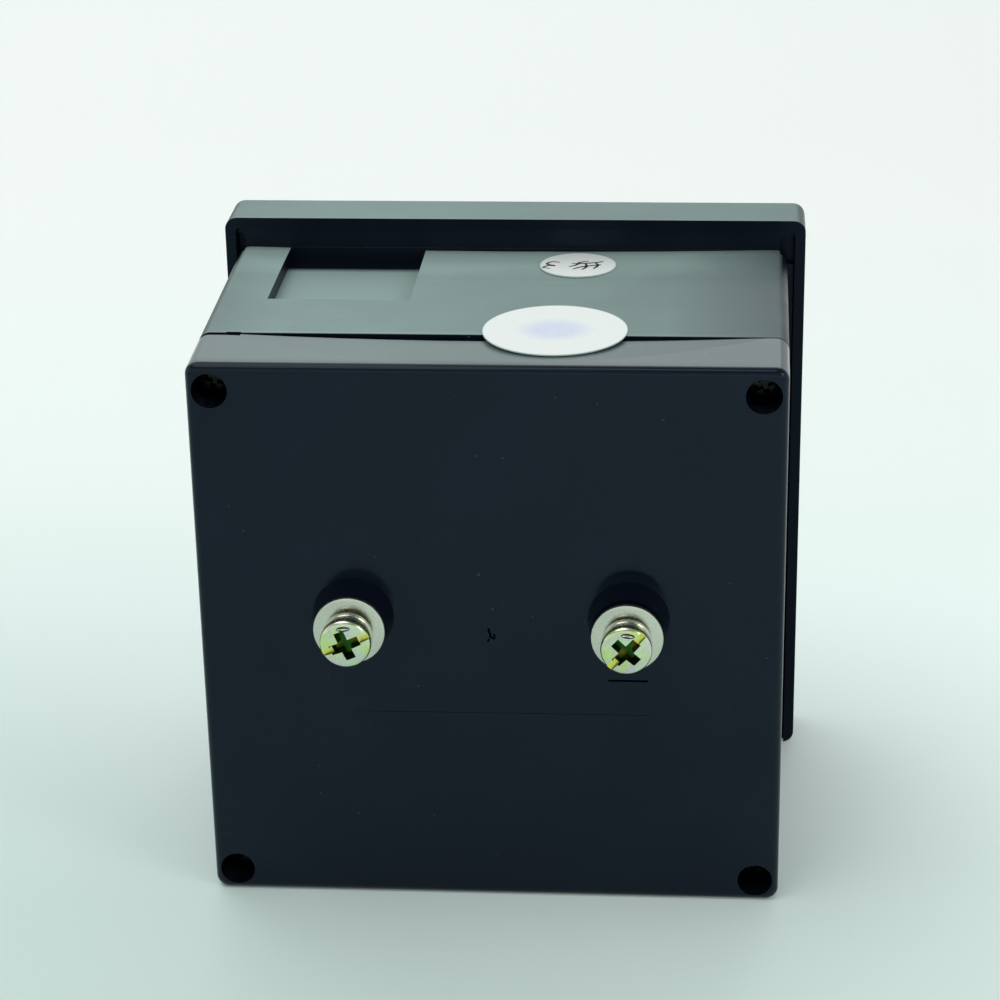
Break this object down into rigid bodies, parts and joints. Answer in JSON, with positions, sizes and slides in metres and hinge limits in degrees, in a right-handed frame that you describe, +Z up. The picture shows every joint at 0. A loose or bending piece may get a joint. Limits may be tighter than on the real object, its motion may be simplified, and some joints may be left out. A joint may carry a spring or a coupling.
{
  "type": "analog panel meter",
  "caption": "Square moving-coil panel meter: glazed front bezel, black moulded case with a screwed rear cover, screw terminals, seal and zero adjuster.",
  "frame": {"origin": "centre of the bezel's rear rim, in the plane that seats on the panel's front face", "axes": "+Y points backwards out of the panel cut-out, through the case to the terminals; the dial faces -Y; +Z is up; +X is to the right for a reader facing the dial"},
  "size_m": [0.096, 0.0768, 0.096],
  "materials": {
    "black_gloss": "moulded black phenolic-look plastic, smooth and glossy",
    "black_matte": "fine-textured black moulding",
    "clear_pane": "clear moulded pane",
    "zinc": "bright zinc plate",
    "zinc_yellow": "yellow passivated zinc plate",
    "brass": "turned brass",
    "tinned": "tinned sheet",
    "resistor_body": "lacquered ceramic body with wire ends",
    "red_sleeve": "plastic insulated wire",
    "black_sleeve": "plastic insulated wire",
    "label_paper": "coated white label",
    "dial_white": "matt white enamel on sheet",
    "alloy": "die-cast and pressed aluminium",
    "iron": "plated soft iron",
    "magnet": "ground magnet alloy",
    "copper": "enamelled copper wire",
    "steel": "polished pivot steel",
    "pointer_black": "black anodised thin aluminium",
    "bronze": "phosphor bronze strip"
  },
  "bodies": {
    "housing": {"bezel": "black_gloss", "window": "clear_pane", "lower_mask": "black_matte", "case": "black_gloss", "rear_cover": "black_gloss", "cover_screws": "zinc", "terminal_bush_a": "brass", "terminal_bush_b": "brass", "terminal_nut_a": "zinc", "terminal_nut_b": "zinc", "solder_tag_a": "tinned", "solder_tag_b": "tinned", "shunt_resistor": "resistor_body", "lead_a": "red_sleeve", "lead_b": "black_sleeve", "seal_label": "label_paper", "inspection_label": "label_paper", "dial_plate": "dial_white", "dial_screws": "zinc", "movement_frame": "alloy", "movement_screws": "zinc", "yoke": "iron", "magnet_left": "magnet", "magnet_right": "magnet", "pole_shoe_left": "iron", "pole_shoe_right": "iron", "iron_core": "iron", "core_pin": "brass", "front_bridge": "brass", "rear_bridge": "brass", "front_jewel_screw": "brass", "rear_jewel_screw": "brass", "rear_hairspring": "bronze"},
    "moving_coil": {"coil_former": "alloy", "coil_winding": "copper", "front_staff": "steel", "rear_staff": "steel", "pointer": "pointer_black", "balance_weights": "brass"},
    "zero_adjuster_knob": {"zero_adjuster": "black_matte"},
    "zero_lever_arm": {"zero_lever": "brass", "front_hairspring": "bronze"},
    "washers_a": {"flat_washer_a": "zinc", "spring_washer_a": "zinc"},
    "washers_b": {"flat_washer_b": "zinc", "spring_washer_b": "zinc"},
    "screw_a": {"terminal_screw_a": "zinc_yellow"},
    "screw_b": {"terminal_screw_b": "zinc_yellow"}
  },
  "joints": [
    {"name": "pointer_turn", "type": "hinge", "parent": "housing", "child": "moving_coil", "pos_m": [0, 0, -0.027], "axis": [0, 1, 0], "range_deg": [0, 90], "stiffness_Nm_per_rad": 0.00002},
    {"name": "adjuster_turn", "type": "hinge", "parent": "housing", "child": "zero_adjuster_knob", "pos_m": [0, 0, -0.0386], "axis": [0, 1, 0], "range_deg": [-30, 30]},
    {"name": "zero_lever_turn", "type": "hinge", "parent": "housing", "child": "zero_lever_arm", "pos_m": [0, 0, -0.027], "axis": [0, 1, 0], "range_deg": [-3.51, 3.51]},
    {"name": "screw_a_travel", "type": "slide", "parent": "housing", "child": "washers_a", "axis": [0, 1, 0], "range_m": [0, 0.0028]},
    {"name": "screw_a_turn", "type": "hinge", "parent": "washers_a", "child": "screw_a", "pos_m": [0.0215, 0, 0.0016], "axis": [0, 1, 0], "range_deg": [0, 1440]},
    {"name": "screw_b_travel", "type": "slide", "parent": "housing", "child": "washers_b", "axis": [0, 1, 0], "range_m": [-0.00105, 0.00175]},
    {"name": "screw_b_turn", "type": "hinge", "parent": "washers_b", "child": "screw_b", "pos_m": [-0.0209, 0, 0.0016], "axis": [0, 1, 0], "range_deg": [-540, 900]}
  ],
  "couplings": [
    {"joint": "zero_lever_turn", "follows": "adjuster_turn", "ratio": -0.11538},
    {"joint": "screw_a_turn", "follows": "screw_a_travel", "rad_per_m": 8976},
    {"joint": "screw_b_turn", "follows": "screw_b_travel", "rad_per_m": 8976}
  ]
}
